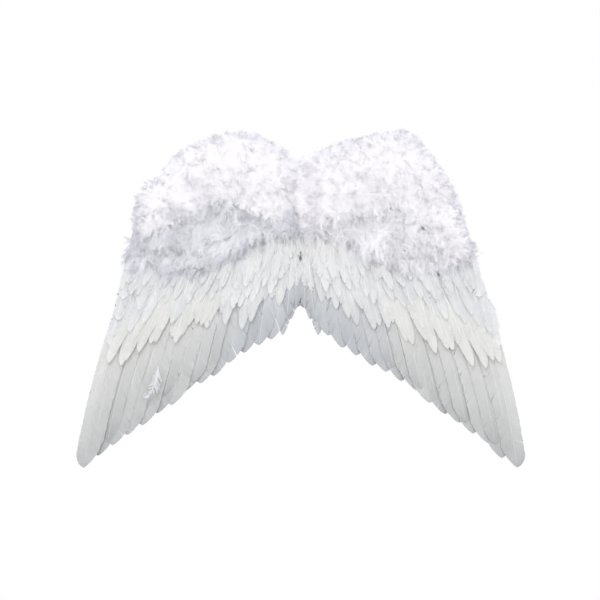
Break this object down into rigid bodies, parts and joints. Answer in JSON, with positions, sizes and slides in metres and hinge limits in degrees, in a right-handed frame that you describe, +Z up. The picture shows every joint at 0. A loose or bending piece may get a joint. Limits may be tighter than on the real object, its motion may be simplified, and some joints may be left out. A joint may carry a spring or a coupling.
{
  "type": "feathered costume wings",
  "caption": "Pair of white feathered fairy wings: layered flight feathers under soft down crests on a stiff back panel with elastic shoulder loops; each wing folds forward.",
  "frame": {"origin": "middle of the back pad's rear face, which rests on the wearer's back", "axes": "+X to the right wing as the feathered front is seen, +Y out of the pad's rear face towards the wearer, +Z up"},
  "size_m": [0.5996, 0.1709, 0.4516],
  "materials": {
    "flight_feather": "smooth barbed vane with a pale shaft, slightly translucent",
    "covering_feather": "soft barbed vane with a white shaft",
    "down": "loose fine down",
    "felt": "pressed fibre felt",
    "board": "matt stiff board",
    "panel": "fine matt",
    "pad": "stitched soft felt",
    "wire": "drawn",
    "ferrule": "crimped tube",
    "elastic": "ribbed elastic webbing",
    "rivet": "satin"
  },
  "bodies": {
    "back_panel": {"back_board": "panel", "back_pad": "pad", "left_hinge_sleeve": "felt", "right_hinge_sleeve": "felt", "strap_ends": "elastic", "strap_rivets": "rivet", "centre_feathers": "covering_feather", "centre_down": "down"},
    "left_wing": {"left_wire_frame": "wire", "left_wire_ferrule": "ferrule", "left_wire_ties": "felt", "left_felt_lining": "felt", "left_wing_board": "board", "left_feather_tapes": "felt", "left_flight_feather_01": "flight_feather", "left_flight_feather_02": "flight_feather", "left_flight_feather_03": "flight_feather", "left_flight_feather_04": "flight_feather", "left_flight_feather_05": "flight_feather", "left_flight_feather_06": "flight_feather", "left_flight_feather_07": "flight_feather", "left_flight_feather_08": "flight_feather", "left_flight_feather_09": "flight_feather", "left_flight_feather_10": "flight_feather", "left_flight_feather_11": "flight_feather", "left_flight_feather_12": "flight_feather", "left_flight_feather_13": "flight_feather", "left_flight_feather_14": "flight_feather", "left_secondary_feathers": "covering_feather", "left_covert_feathers": "covering_feather", "left_down_bank": "down", "left_down_crest": "down"},
    "right_wing": {"right_wire_frame": "wire", "right_wire_ferrule": "ferrule", "right_wire_ties": "felt", "right_felt_lining": "felt", "right_wing_board": "board", "right_feather_tapes": "felt", "right_flight_feather_01": "flight_feather", "right_flight_feather_02": "flight_feather", "right_flight_feather_03": "flight_feather", "right_flight_feather_04": "flight_feather", "right_flight_feather_05": "flight_feather", "right_flight_feather_06": "flight_feather", "right_flight_feather_07": "flight_feather", "right_flight_feather_08": "flight_feather", "right_flight_feather_09": "flight_feather", "right_flight_feather_10": "flight_feather", "right_flight_feather_11": "flight_feather", "right_flight_feather_12": "flight_feather", "right_flight_feather_13": "flight_feather", "right_flight_feather_14": "flight_feather", "right_secondary_feathers": "covering_feather", "right_covert_feathers": "covering_feather", "right_down_bank": "down", "right_down_crest": "down"},
    "left_strap": {"left_strap_loop": "elastic"},
    "right_strap": {"right_strap_loop": "elastic"}
  },
  "joints": [
    {"name": "left_wing_fold", "type": "hinge", "parent": "back_panel", "child": "left_wing", "pos_m": [-0.014, -0.012, 0], "axis": [0, 0, 1], "range_deg": [0, 60]},
    {"name": "right_wing_fold", "type": "hinge", "parent": "back_panel", "child": "right_wing", "pos_m": [0.014, -0.012, 0], "axis": [0, 0, -1], "range_deg": [0, 60]},
    {"name": "left_strap_swing", "type": "hinge", "parent": "back_panel", "child": "left_strap", "pos_m": [-0.038, 0.0065, 0], "axis": [0, 0, 1], "range_deg": [-12, 75]},
    {"name": "right_strap_swing", "type": "hinge", "parent": "back_panel", "child": "right_strap", "pos_m": [0.038, 0.0065, 0], "axis": [0, 0, -1], "range_deg": [-12, 75]}
  ]
}
